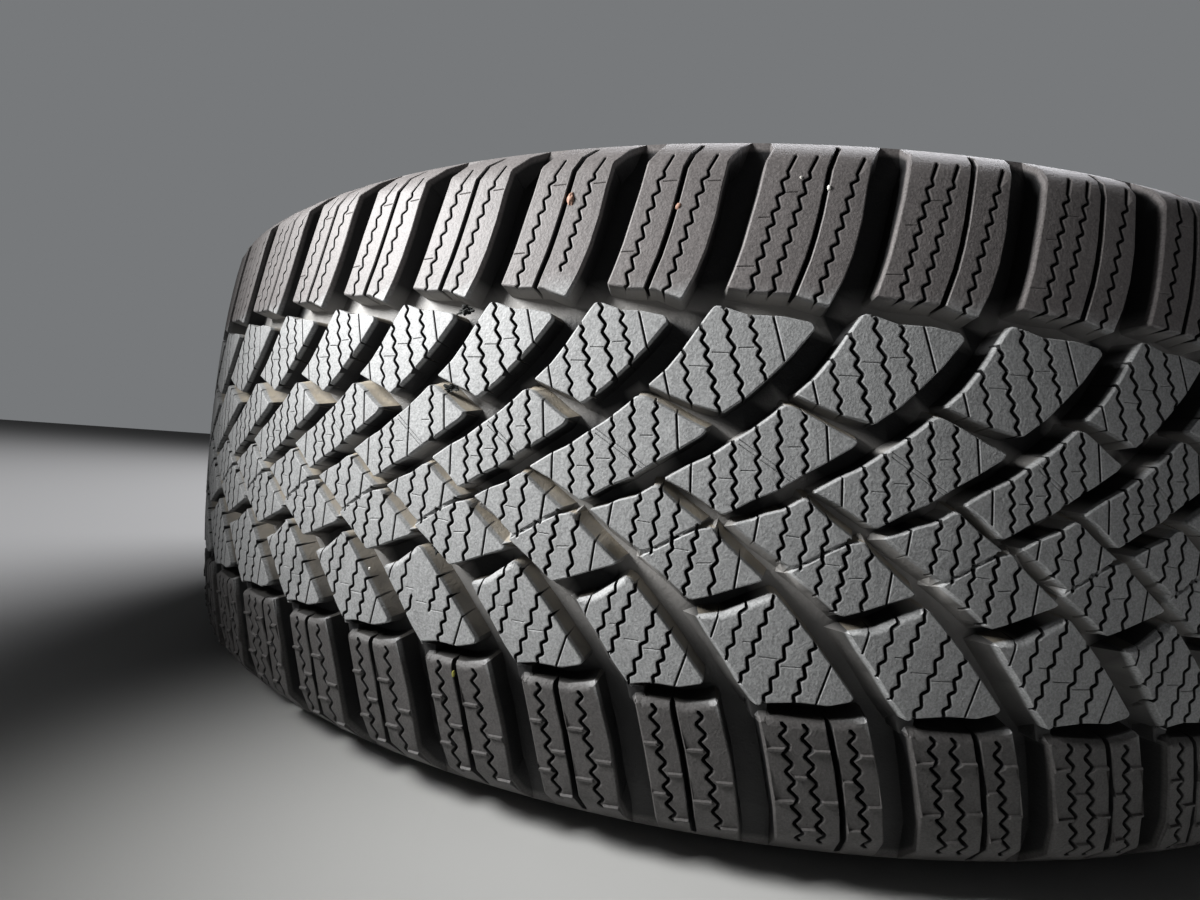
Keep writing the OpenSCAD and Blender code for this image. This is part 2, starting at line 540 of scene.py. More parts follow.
@dataclass
class PitchPattern:
    """All elements of one pitch of the tread.

    Args:
        pitch: the pitch that they belong to.
        blocks: its blocks, filled in row by row.
        slits: its sipes, cuts, slots and hairlines.
        bars: the raised bars of its lower shoulder.
    """

    pitch: Pitch
    blocks: list[Block] = field(default_factory=list)
    slits: list[Slit] = field(default_factory=list)
    bars: list[Bar] = field(default_factory=list)

    def __post_init__(self) -> None:
        """Fills in every row, from the upper shoulder to the lower."""
        self.upper_shoulder()
        self.row_b()
        self.row_c()
        self.row_d()
        self.row_e()
        self.row_f()
        self.lower_shoulder()

    @property
    def is_long(self) -> bool:
        """True for a long pitch."""
        return self.pitch.kind is PitchKind.LONG

    def block(self, rows: list[tuple], top: float = 0.0) -> None:
        """Adds a block from its rows."""
        self.blocks.append(Block.from_rows(self.pitch, rows, top))

    def sipe(self, start: tuple, end: tuple, half: float = 0.37) -> None:
        """Adds a zigzag sipe that runs out of the block at both ends.

        Args:
            start: its upper end as (offset, height, share of the pitch).
            end: its lower end, likewise.
            half: half of its width.
        """
        a, b = self.pitch.place([start, end])
        past = (b - a) / np.linalg.norm(b - a) * SIPE_PAST
        line = np.vstack([a - past, zigzag(a, b, ROW_SWING, WAVE), b + past])
        self.slits.append(Slit(line, half, *ROW_SIPE))

    def cut(self, start: tuple, end: tuple, half: float = 0.24, depth: float = 3.0) -> None:
        """Adds a thin straight sipe that runs out of the block at both ends.

        Args:
            start: its upper end as (offset, height, share of the pitch).
            end: its lower end, likewise.
            half: half of its width.
            depth: how deep it is cut.
        """
        a, b = self.pitch.place([start, end])
        past = (b - a) / np.linalg.norm(b - a) * CUT_PAST
        line = np.vstack([a - past, (a + b) / 2, b + past])
        self.slits.append(Slit(line, half, CUT_RIM, depth, CUT_FALL))

    def hairline(self, start: tuple, end: tuple) -> None:
        """Adds a shallow fine line across a block's top."""
        a, b = self.pitch.place([start, end])
        self.slits.append(Slit(np.vstack([a, (a + b) / 2, b]), *HAIRLINE))

    def between(self, left: list, right: list, share: float, z: float) -> tuple:
        """A point at a share of the way across a shoulder block.

        Args:
            left: the block's left side.
            right: the block's right side.
            share: 0 on the left side, 1 on the right.
            z: height of the point.

        Returns:
            The point as (offset, height, share of the pitch).
        """
        a = along(left, z)
        b = along(right, z)
        return (a * (1 - share) + b * share, z, share)

    def across_line(self, left: list, right: list, shares: list[tuple]) -> Array:
        """A line through points given as (share, height) of a shoulder block."""
        return self.pitch.place([self.between(left, right, f, z) for f, z in shares])

    def upper_shoulder(self) -> None:
        """Shoulder block above the ring groove, with one slot and sipes."""
        left, right = UPPER_LEFT, UPPER_RIGHT
        bottom = [(0.28, 48.9), (0.62, 48.8), (0.74, 47.9)]
        rows = [(a, z, 0, "l") for a, z in reversed(left)]
        rows += [(*self.between(left, right, f, z)[:2], f, "e") for f, z in bottom]
        rows += [(a, z, 1, "e") for a, z in right]
        self.block(rows)
        slot = 0.62 if self.is_long else 0.5
        heights = [46.5, 52, 58, 64, 70, 76, 82, 87, 91.5]
        line = self.across_line(left, right, [(slot, z) for z in heights])
        self.slits.append(Slit(line, *UPPER_SLOT))
        sipes = [0.21, 0.415, 0.86] if self.is_long else [0.22, 0.76]
        for i, f in enumerate(sipes):
            low = 53.5 if self.pitch.worn and i else 47.0
            a, b, c = self.across_line(left, right, [(f, low), (f + 0.02, 81.0), (f + 0.05, 86.2)])
            line = np.vstack([zigzag(a, b, UPPER_SWING, WAVE), c])
            self.slits.append(Slit(line, *UPPER_SIPE))
        # Hairlines as first share, last share and height.
        if self.is_long:
            marks = [(0.0, 0.2, 55.2), (0.05, 0.2, 68.2), (0.23, 0.4, 75.2)]
        else:
            marks = [(0.0, 0.2, 58.5), (0.25, 0.47, 78), (0.8, 1.0, 78)]
        for first, last, z in marks:
            start = self.between(left, right, first + 0.02, z)
            self.hairline(start, self.between(left, right, last - 0.03, z + 0.2))

    def row_b(self) -> None:
        """Upper inner block, a leaning kite."""
        self.block([
            (19.5, 45.1, 0, "e"), (21.4, 44.9, 0, "e"), (24.1, 43.1, 0.1, "e"), (0.5, 43.1, 1, "e"),
            (7.2, 42.0, 1, "e"), (8.1, 40.6, 1, "e"), (3.0, 33.5, 1, "e"), (-1.6, 28.3, 1, "e"),
            (-6.6, 23.0, 1, "e"), (-12.5, 18.3, 1, "e"), (16.1, 19.8, 0, "e"), (9.7, 22.0, 0, "e"),
            (4.4, 24.0, 0, "l"), (8.9, 28.6, 0, "l"), (12.3, 33.5, 0, "l"), (15.3, 38.6, 0, "l"),
            (18.2, 43.4, 0, "l"),
        ])
        self.cut((8.1, 28.0, 0), (9.8, 22.2, 0))
        self.sipe((12.2, 33.3, 0), (15.6, 20.2, 0))
        self.sipe((13.0, 38.8, 0.1), (18.9, 19.4, 0.1), 0.43)
        self.sipe((14.4, 44.7, 0.2), (20.8, 22.7, 0.2), 0.43)
        self.sipe((15.6, 42.8, 0.35), (20.2, 28.4, 0.35), 0.38)
        self.cut((15.8, 43.1, 0.5), (18.9, 33.2, 0.5))
        self.hairline((14.5, 29.4, 0), (18.3, 29.5, 0.04))
        self.hairline((17.6, 33.1, 0.06), (21.4, 33.2, 0.1))
        self.hairline((19.7, 34.6, 0.18), (19.0, 34.9, 0.3))

    def row_c(self) -> None:
        """Middle block, a long kite that points left."""
        self.block([
            (-25.6, 0.8, 0, "l"), (-20.2, 4.5, 0, "l"), (-15.1, 7.3, 0, "l"), (-10.6, 10.8, 0, "l"),
            (-5.6, 14.4, 0, "l"), (-0.8, 18.6, 0, "l"), (1.8, 21.2, 0, "d"), (4.3, 20.9, 0, "d"),
            (-1.8, 18.8, 0.3, "d"), (-11.0, 15.4, 0.75, "d"), (-16.1, 13.9, 1, "e"), (-17.0, 12.4, 1, "e"),
            (-23.5, 7.8, 1, "e"), (-28.5, 4.5, 1, "e"), (-34.2, 0.3, 1, "e"), (-39.6, -2.4, 1, "e"),
            (-44.8, -5.8, 1, "e"), (-46.6, -6.8, 1, "e"), (-42.5, -5.4, 0.82, "e"),
            (-34.2, -2.0, 0.42, "e"),
        ])
        self.cut((-19.2, 4.4, 0), (-18.8, -2.2, 0))
        self.sipe((-16.1, 7.2, 0.05), (-14.9, -4.6, 0.05))
        self.sipe((-16.8, 10.8, 0.2), (-14.9, -5.4, 0.2), 0.41)
        if self.pitch.worn:
            self.cut((-16.6, 14.3, 0.4), (-15.6, -2.4, 0.4))
        else:
            self.sipe((-18.5, 14.3, 0.4), (-16.7, -2.4, 0.4))
            self.sipe((-19.0, 18.6, 0.55), (-17.2, 0.3, 0.55), 0.41)
        self.sipe((-18.6, 19.7, 0.7), (-16.9, 4.2, 0.7), 0.38)
        self.cut((-18.5, 17.8, 0.85), (-17.2, 7.4, 0.85))
        self.hairline((-13.2, 2.1, 0.03), (-14.6, 2.2, 0.17))
        self.hairline((-14.3, 4.4, 0.2), (-17.0, 4.6, 0.37))
        self.hairline((-16.5, 11.1, 0.56), (-17.8, 11.3, 0.68))
        for shift in (0.0, -1.2):
            self.hairline((-8.0, 12.0 + shift, 0), (-14.0, 3.0 + shift, 0.57))

    def row_d(self) -> None:
        """Small block under the middle one."""
        self.block([
            (-26.0, -8.7, 0.5, "l"), (-34.9, -7.2, 0.87, "e"), (-30.6, -5.6, 0.83, "e"),
            (-32.4, -4.2, 1, "e"), (-28.2, -1.3, 1, "d"), (-26.9, -1.2, 1, "d"), (-21.6, -5.4, 1, "d"),
            (-15.4, -9.4, 1, "e"), (-21.2, -12.8, 1, "e"), (-26.6, -16.4, 1, "e"),
            (-21.3, -17.8, 0.77, "d"), (-20.1, -15.9, 0.64, "d"), (-15.4, -12.8, 0.37, "d"),
        ])
        self.cut((-31.0, -6.9, 0.8), (-31.6, -12.7, 0.8))
        self.sipe((-31.4, -3.6, 1), (-32.4, -15.6, 1), 0.38)
        self.sipe((-26.2, -2.0, 1), (-27.2, -16.6, 1), 0.38)
        if self.is_long:
            self.sipe((-21.6, -5.3, 1), (-22.2, -13.6, 1))
        else:
            self.cut((-20.3, -5.0, 1), (-20.9, -12.6, 1), 0.3, 4.0)
        self.hairline((-31.2, -10.3, 1), (-28.2, -10.5, 1))

    def row_e(self) -> None:
        """Inner block under row D, a pointed oval."""
        self.block([
            (-29.8, -19.0, 1, "d"), (-24.6, -16.0, 1, "e"), (-20.1, -13.0, 1, "e"), (-16.4, -11.0, 1, "e"),
            (-12.9, -10.1, 1, "d"), (-11.0, -12.3, 1, "d"), (-5.8, -16.6, 1, "d"), (0.4, -21.4, 1, "e"),
            (-0.6, -22.2, 1, "e"), (-6.4, -24.5, 1, "e"), (-12.1, -26.9, 1, "e"), (-16.6, -28.5, 1, "d"),
            (-18.8, -26.8, 1, "d"), (-23.4, -23.3, 1, "d"),
        ])
        self.sipe((-22.5, -14.9, 1), (-22.8, -23.4, 1))
        self.sipe((-16.6, -11.3, 1), (-18.2, -26.8, 1), 0.43)
        self.sipe((-11.2, -11.6, 1), (-11.9, -26.6, 1), 0.41)
        self.cut((-5.7, -16.4, 1), (-6.4, -24.5, 1))
        self.hairline((-21.5, -16.2, 1), (-18.1, -16.4, 1))
        self.hairline((-15.8, -19.2, 1), (-12.4, -18.8, 1))

    def row_f(self) -> None:
        """Outer block between the long grooves."""
        self.block([
            (21.3, -32.2, 0, "b"), (15.0, -30.6, 0.35, "b"), (9.0, -27.4, 0.68, "b"), (2.6, -24.8, 1, "e"),
            (4.0, -25.1, 1, "e"), (7.8, -28.9, 1, "e"), (13.4, -34.8, 1, "e"), (19.0, -41.4, 1, "e"),
            (24.4, -47.8, 1, "e"), (23.8, -48.9, 1, "e"), (18.6, -50.5, 1, "e"), (11.5, -50.4, 1, "e"),
            (22.8, -51.6, 0.45, "e"), (37.6, -52.5, 0, "g"), (32.9, -47.2, 0, "g"), (28.8, -41.5, 0, "g"),
            (24.7, -36.5, 0, "g"),
        ])
        self.cut((16.6, -30.2, 0.28), (15.3, -35.8, 0.28))
        self.sipe((22.0, -27.2, 0.3), (18.7, -40.8, 0.3))
        # Wear has closed the upper part of one sipe and the lower part of the next.
        worn = self.pitch.worn_foot
        self.sipe((17.0, -40.5, 0.5) if worn else (20.9, -26.4, 0.5), (15.3, -46.4, 0.5), 0.41)
        self.sipe((27.3, -30.2, 0.5), (24.2, -41.0, 0.5) if worn else (21.2, -51.2, 0.5), 0.41)
        self.sipe((26.5, -35.2, 0.65), (22.9, -50.2, 0.65), 0.43)
        self.cut((30.8, -40.2, 0.65), (28.1, -50.4, 0.65))
        self.hairline((17.8, -37.0, 0.42), (15.9, -37.0, 0.57))
        self.hairline((20.6, -40.3, 0.46), (19.2, -40.3, 0.62))
        self.hairline((24.4, -42.0, 0.5), (23.4, -41.8, 0.68))

    def lower_shoulder(self) -> None:
        """Shoulder block below, with a sloping upper end and raised bars."""
        left, right = LOWER_LEFT, LOWER_RIGHT
        top = [(0.86, -53.6), (0.6, -54.9), (0.42, -54.9), (0.16, -54.7)]
        rows = [(a, z, 0, "l") for a, z in left]
        rows += [(a, z, 1, "e") for a, z in reversed(right[1:])]
        rows += [(*right[0], 1, "t")]
        rows += [(*self.between(left, right, f, z)[:2], f, "t") for f, z in top]
        self.block(rows)
        step = [(35.6, -51.6, 0, "e"), (40.6, -52.4, 0, "e"),
                (40.6, -57.0, 0, "e"), (37.0, -56.6, 0, "e")]
        self.block(step, STEP_TOP)
        slot = 0.63 if self.is_long else 0.45
        heights = [-55.2, -61, -67, -73, -79, -85, -91.5]
        line = self.across_line(left, right, [(slot, z) for z in heights])
        self.slits.append(Slit(line, *LOWER_SLOT))
        sipes = [0.2, 0.4, 0.82] if self.is_long else [0.2, 0.74]
        for f in sipes:
            a, b = self.across_line(left, right, [(f, -56.0), (f + 0.03, -87.0)])
            self.slits.append(Slit(zigzag(a, b, LOWER_SWING, LOWER_WAVE), *LOWER_SIPE))
        # Bars as first share, last share and height.
        if self.is_long:
            marks = [(0.02, 0.17, -62.7), (0.02, 0.19, -75.8), (0.23, 0.38, -69.2), (0.24, 0.39, -82.7),
                     (0.44, 0.59, -62.1), (0.44, 0.59, -74.9), (0.66, 0.79, -69.1), (0.67, 0.8, -81.7),
                     (0.86, 0.98, -62.1), (0.87, 0.98, -75.0)]
        else:
            marks = [(0.02, 0.18, -66.0), (0.02, 0.2, -79.0), (0.24, 0.41, -73.2), (0.25, 0.41, -85.4),
                     (0.5, 0.7, -66.0), (0.5, 0.71, -79.2), (0.79, 0.98, -73.4), (0.8, 0.98, -85.8)]
        for first, last, z in marks:
            shares = [(first, z), ((first + last) / 2, z + 0.15), (last, z + 0.3)]
            self.bars.append(Bar(self.across_line(left, right, shares)))


# The joint between two pitches, down the grooves and across both shoulders.
SEAM = [(30.4, 94.5), (29.3, 92), (27.0, 89), (24.8, 84), (23.5, 77), (22.2, 69), (20.5, 60), (18.4, 53),
        (16.4, 47), (12.6, 42), (7.8, 33.5), (3.8, 28.5), (-0.8, 24), (-6.8, 18), (-11, 14.4), (-15, 10.8),
        (-19.6, 7.3), (-24.2, 4.5), (-28.3, 1.4), (-26.7, -0.1), (-20.4, -4.2), (-13.8, -8.4), (-6.6, -12.6),
        (-1.2, -17), (4.4, -21.2), (8.8, -26.6), (16.2, -34), (22.0, -41), (27.6, -47.8), (31.4, -53),
        (34.6, -60), (36.8, -67), (39.2, -75), (41.0, -84), (43.0, -91), (44.4, -94.5)]

# Centre lines of the grooves that lie open to the light; their floors get painted light, a paler grey in
# place of the painted shade of the other grooves.
LONG_VALLEY = [(-31.0, 2.4), (-24.0, -2.6), (-17.1, -6.3), (-9.5, -11.4), (-3.0, -15.6), (2.0, -19.8),
               (7.0, -24.6), (12.5, -30.2), (19.0, -37.4), (25.0, -44.6), (30.6, -51.0), (33.4, -56.0)]
RING_VALLEY = [(20.5, 46.6), (26.0, 47.0), (36.0, 46.4), (44.0, 44.6)]
GAP_VALLEY = [(2.0, 22.6), (9.0, 20.2), (22.0, 15.5), (30.0, 12.0)]
VALLEYS = ((LONG_VALLEY, 5.4), (RING_VALLEY, 4.0), (GAP_VALLEY, 2.6))  # with half of the painted light's width


@dataclass
class FlatRun:
    """One run of pitches cut into triangles on the flat strip.

    Args:
        size: the tyre's main sizes.
        points: corners of the triangles, as (along, height) rows.
        faces: indices of each triangle's corners.
        relief: height of each point above the worn tread.
        tilt: slope of the relief at each point.
        columns: steps of the tread's edge in each pitch.
        run_out: height at which the grooves have run out over the shoulders.
        easing: width over which they run out.
        margin: how far past the seam the pattern's lines are still taken in.
    """

    size: TyreSize
    points: Array = field(init=False)
    faces: Array = field(init=False)
    relief: Array = field(init=False)
    tilt: Array = field(init=False)
    columns: int = 12
    run_out: float = 94.0
    easing: float = 9.0
    margin: float = 8.0

    def __post_init__(self) -> None:
        """Lays out the pitches, cuts the strip and works out its relief."""
        self.pitches = self.lay_out()
        patterns = [PitchPattern(p) for p in self.pitches]
        self.blocks = [b for p in patterns for b in p.blocks]
        self.slits = [s for p in patterns for s in p.slits]
        self.bars = [b for p in patterns for b in p.bars]
        self.triangulate()
        self.relief = self.height(self.points)
        self.tilt = self.gradient(self.points)

    @property
    def scale(self) -> float:
        """Stretch that closes the five runs into one full turn."""
        total = sum(self.size.pitch_length(kind) for kind in RUN)
        return 2 * np.pi * self.size.radius / (self.size.repeats * total)

    @property
    def length(self) -> float:
        """Length of one run along the crown."""
        return 2 * np.pi * self.size.radius / self.size.repeats

    def lay_out(self) -> list[Pitch]:
        """Places the run's pitches, with two neighbours at each end.

        Returns:
            The pitches from left to right.
        """
        kinds = [RUN[-2], RUN[-1], *RUN, RUN[0], RUN[1]]
        steps = np.array([self.size.pitch_length(kind) for kind in kinds]) * self.scale
        starts = self.size.first_line + np.cumsum(steps) - steps - steps[0] - steps[1]
        pitches = []
        for i, (start, step, kind) in enumerate(zip(starts, steps, kinds)):
            worn, worn_foot = ((i - hop) % len(RUN) == WORN_PITCH for hop in (2, 1))
            pitches.append(Pitch(float(start), float(step), kind, worn, worn_foot))
        return pitches

    def depth_at(self, points: Array) -> Array:
        """Groove depth: full in the tread, running out over the shoulders.

        Args:
            points: the points, as (along, height) rows.

        Returns:
            The depth at each point.
        """
        a = np.abs(points[:, 1])
        ease = np.clip((self.run_out - a) / self.easing, 0, 1)
        return self.size.groove_depth * ease * (2 - ease)

    def height(self, points: Array) -> Array:
        """Relief of the tread: blocks over the groove floor, less slits, plus bars.

        Args:
            points: the points, as (along, height) rows.

        Returns:
            Height of each point above the worn tread, negative in grooves.
        """
        depth = self.depth_at(points)
        out = -depth
        for block in self.blocks:
            near = self.close_to(points, block.ring, BLOCK_REACH)
            out[near] = np.maximum(out[near], block.relief(points[near], depth[near]))
        for slit in self.slits:
            near = self.close_to(points, slit.line, slit.half + slit.rim)
            out[near] = np.minimum(out[near], slit.relief(points[near], depth[near]))
        for bar in self.bars:
            near = self.close_to(points, bar.line, BAR_REACH)
            near = near[out[near] > BAR_FOOT]
            out[near] += bar.relief(points[near])
        return np.maximum(out, -depth - 0.001)

    @staticmethod
    def close_to(points: Array, line: Array, reach: float) -> Array:
        """Indices of the points inside a line's box widened by a reach."""
        low, high = line.min(0) - reach, line.max(0) + reach
        return np.flatnonzero(np.all((points > low) & (points < high), axis=1))

    def gradient(self, points: Array) -> Array:
        """Slope of the relief, by differences over a tenth of a millimetre to each side.

        Args:
            points: the points, as (along, height) rows.

        Returns:
            The slope along the tyre and the slope up it, at each point.
        """
        step = 0.1
        sides = [np.array([step, 0.0]), np.array([0.0, step])]
        rises = [self.height(points + side) - self.height(points - side) for side in sides]
        return np.column_stack(rises) / (2 * step)

    def painted_groove_light(self) -> Array:
        """How much each point lies in an open groove.

        Returns:
            1 inside a groove and 0 beside it, as the share of painted light on its floor; it thins towards
            the lower shoulder, leaving painted shade where less light reaches.
        """
        out = np.zeros(len(self.points))
        for pitch in self.pitches:
            for path, reach in VALLEYS:
                line = np.array(path, float) + [pitch.line, 0]
                near = self.close_to(self.points, line, reach)
                gap, _, _ = nearest_on(self.points[near], line[:-1], line[1:])
                out[near] = np.maximum(out[near], np.clip((reach - gap) / LIGHT_EDGE, 0, 1))
        # The painted light fades towards the lower shoulder, where less light reaches.
        return out * np.clip((self.points[:, 1] + 54) / 30, 0.04, 1)

    def sliced(self) -> Array:
        """How much each point lies in a deep slit of a block's top.

        Returns:
            1 inside a slit, 0 past its rim and on walls and floors; the finish paints this share near black
            as painted shade.
        """
        out = np.zeros(len(self.points))
        for slit in self.slits:
            near = self.close_to(self.points, slit.line, slit.half + slit.rim)
            gap, _, _ = nearest_on(self.points[near], slit.line[:-1], slit.line[1:])
            share = np.clip((slit.half + slit.rim - gap) / slit.rim, 0, 1) * min(slit.depth / 3, 1)
            out[near] = np.maximum(out[near], share)
        on_top = np.zeros(len(self.points), bool)
        for block in self.blocks:
            near = self.close_to(self.points, block.ring, 0.0)
            on_top[near] |= inside(self.points[near], block.ring)
        return out * on_top

    def dusty_walls(self) -> Array:
        """How much dust lies on each triangle.

        It is full on walls that face up and a little to the right, and none
        where a wall faces more than about 50 degrees away from there.  It thins
        out towards the lower shoulder, and there is none on the shoulders.

        Returns:
            The share of dust on each triangle, from 0 to 1.
        """
        solid = np.column_stack([self.points, self.relief])
        a, b, c = (solid[self.faces[:, i]] for i in range(3))
        normal = np.cross(b - a, c - a)
        flat = np.hypot(normal[:, 0], normal[:, 1]) + TINY
        facing = (FACE_ALONG * normal[:, 0] + FACE_UP * normal[:, 1]) / flat
        steep = np.clip(flat / np.maximum(normal[:, 2], 1e-9), 0, 1)
        height = (a[:, 1] + b[:, 1] + c[:, 1]) / 3
        sheltered = np.clip((height + 56) / 36, 0, 1) * np.clip((44 - height) / 4, 0, 1)
        return np.clip((facing - 0.62) / 0.25, 0, 1) * steep * sheltered

    def outline(self) -> tuple[Array, Array, Array]:
        """Border of the run on three sides.

        Returns:
            The seam at the left end, and the upper and lower rows of points.
        """
        first = self.pitches[2].line
        seam = np.array(SEAM, float) + [first, 0]
        lines = np.array([p.line for p in self.pitches[2:15]])
        share = np.arange(self.columns) / self.columns
        marks = (lines[:-1, None] + np.diff(lines)[:, None] * share[None]).ravel()
        marks = np.append(marks, lines[-1])
        top = np.column_stack([marks + SEAM[0][0], np.full(len(marks), SEAM[0][1])])
        low = np.column_stack([marks + SEAM[-1][0], np.full(len(marks), SEAM[-1][1])])
        return seam, top, low

    def triangulate(self) -> None:
        """Cuts the run into triangles along every line of the pattern."""
        seam, top, low = self.outline()
        shift = np.array([self.length, 0.0])
        border = np.vstack([seam, low[1:-1], (seam + shift)[::-1], top[1:-1][::-1]])
        chunks, edges, base = [border], [], len(border)
        ids = np.arange(base)
        edges.append(np.column_stack([ids, np.roll(ids, -1)]))
        low_x = seam[:, 0].min() - self.margin
        high_x = seam[:, 0].max() + self.length + self.margin
        for item in [*self.blocks, *self.slits, *self.bars]:
            for line, closed in item.lines():
                if line[:, 0].max() < low_x or line[:, 0].min() > high_x:
                    continue
                ids = base + np.arange(len(line))
                pairs = np.column_stack([ids, np.roll(ids, -1)])
                edges.append(pairs if closed else pairs[:-1])
                chunks.append(line)
                base += len(line)
        verts = np.vstack(chunks)
        pairs = np.vstack(edges)
        out = delaunay_2d_cdt([Vector(v) for v in verts.tolist()], pairs.tolist(), [], 0, 1e-4, False)
        points = np.array([tuple(v) for v in out[0]])
        faces = np.array([f for f in out[2] if len(f) == 3], int)
        middle = points[faces].mean(axis=1)
        faces = faces[inside(middle, border)]
        a, b, c = (points[faces[:, i]] for i in range(3))
        ab, ac = b - a, c - a
        turn = ab[:, 0] * ac[:, 1] - ab[:, 1] * ac[:, 0]
        faces[turn < 0] = faces[turn < 0][:, ::-1]
        used, back = np.unique(faces.ravel(), return_inverse=True)
        self.points = points[used]
        self.faces = back.reshape(-1, 3)


# --------------------------------------------------------------------------
# Meshes
# --------------------------------------------------------------------------
def outward(angle: Array) -> Array:
    """Unit vectors away from the tyre's axis; the front, -Y, is angle zero."""
    return np.stack([np.sin(angle), -np.cos(angle), np.zeros_like(angle)], -1)


def sideways(angle: Array) -> Array:
    """Unit vectors along the tread, square to outward."""
    return np.stack([np.cos(angle), np.sin(angle), np.zeros_like(angle)], -1)


@dataclass
class Surface:
    """Vertices, faces, normals and named values of one piece, in metres.

    Args:
        name: the piece's name.
        verts: its points.
        faces: indices of each face's corners, all with the same count.
        normals: smooth normal of each point.
        values: shares by name, one value per point.
        face_values: shares by name, one value per face.
        crease: a face that leans further than this (degrees) from a corner's
            own normal keeps its flat normal there, so edges stay sharp.
    """

    name: str
    verts: Array
    faces: Array
    normals: Array
    values: dict[str, Array]
    face_values: dict[str, Array] = field(default_factory=dict)
    crease: float = 24.0

    def corner_normals(self) -> Array:
        """Normals of all face corners, in the order of the faces.

        Returns:
            The smooth normal where the face lies close to it, else the flat one.
        """
        a, b, c = (self.verts[self.faces[:, i]] for i in range(3))
        flat = np.cross(b - a, c - a)
        flat /= np.linalg.norm(flat, axis=1)[:, None] + TINY_AREA
        own = self.normals[self.faces]
        near = np.sum(own * flat[:, None], axis=2) > np.cos(np.radians(self.crease))
        return np.where(near[..., None], own, flat[:, None]).reshape(-1, 3)

    def build(self, material: bpy.types.Material) -> bpy.types.Object:
        """Makes the Blender object, with its own normals kept.

        Args:
            material: the finish of the whole piece.

        Returns:
            The new object, linked to the scene.
        """
        mesh = bpy.data.meshes.new(self.name)
        count = self.faces.shape[1]
        mesh.vertices.add(len(self.verts))
        mesh.vertices.foreach_set("co", self.verts.astype(np.float32).ravel())
        mesh.loops.add(self.faces.size)
        mesh.loops.foreach_set("vertex_index", self.faces.astype(np.int32).ravel())
        mesh.polygons.add(len(self.faces))
        mesh.polygons.foreach_set("loop_start", np.arange(0, self.faces.size, count, dtype=np.int32))
        for domain, group in (("POINT", self.values), ("FACE", self.face_values)):
            for key, value in group.items():
                layer = mesh.attributes.new(key, "FLOAT", domain)
                layer.data.foreach_set("value", value.astype(np.float32))
        mesh.update(calc_edges=True)
        mesh.polygons.foreach_set("use_smooth", np.ones(len(self.faces), bool))
        mesh.normals_split_custom_set(self.corner_normals().tolist())
        mesh.materials.append(material)
        obj = bpy.data.objects.new(self.name, mesh)
        bpy.context.collection.objects.link(obj)
        return obj


@dataclass
class Tread:
    """The tread, as repeats of one flat run rolled round the crown.

    Args:
        size: the tyre's main sizes.
        run: the flat run.
        level: relief above which a top counts as level, so it shades as one face.
    """

    size: TyreSize
    run: FlatRun
    level: float = -0.004

    def surfaces(self) -> list[Surface]:
        """One surface per repeat of the run."""
        return [self.rolled(i) for i in range(self.size.repeats)]

    def rolled(self, index: int) -> Surface:
        """Rolls the flat run round the tyre's axis.

        A point goes to the crown radius at its height, then along the crown's
        own normal by its relief; the slopes of the relief lean that normal.

        Args:
            index: number of the repeat, from 0.

        Returns:
            The surface of one repeat.
        """
        run, size = self.run, self.size
        s = run.points[:, 0] + index * run.length
        z = run.points[:, 1]
        slope = size.crown_slope(z)
        lean = np.hypot(1.0, slope)
        out_r, out_z = 1 / lean, -slope / lean
        angle = s / size.radius
        radius = size.crown(z) + run.relief * out_r
        height = z + run.relief * out_z
        radial = outward(angle)
        up_dir = radial * (slope / lean)[:, None] + UP * (1 / lean)[:, None]
        out_dir = radial * out_r[:, None] + UP * out_z[:, None]
        tilt = np.where(run.relief[:, None] > self.level, 0, run.tilt)
        normal = out_dir - tilt[:, 0:1] * sideways(angle) - tilt[:, 1:2] / lean[:, None] * up_dir
        normal /= np.linalg.norm(normal, axis=1)[:, None]
        verts = radial * radius[:, None] + UP * (height + size.half_width)[:, None]
        values = {
            "depth": np.clip(-run.relief / size.groove_depth, 0, 1),
            # Painted light on the floors of the grooves the light runs along.
            "open": run.painted_groove_light(),
            # Painted shade in the deep slits of the block tops.
            "slit": run.sliced(),
            "side": np.zeros(len(z)),
            # Colour of each shoulder, starting in the groove beside its blocks: the upper one browner,
            # partly its own tone and partly painted shade from the tyre stacked above; the lower one darker
            # as painted shade.
            "upper": np.clip((z - 47.0) / 3, 0, 1),
            "lower": np.clip((-52.5 - z) / 2, 0, 1),
        }
        dust = {"dust": run.dusty_walls()}
        return Surface(f"tread_{index + 1}", verts * MM, run.faces, normal, values, dust)


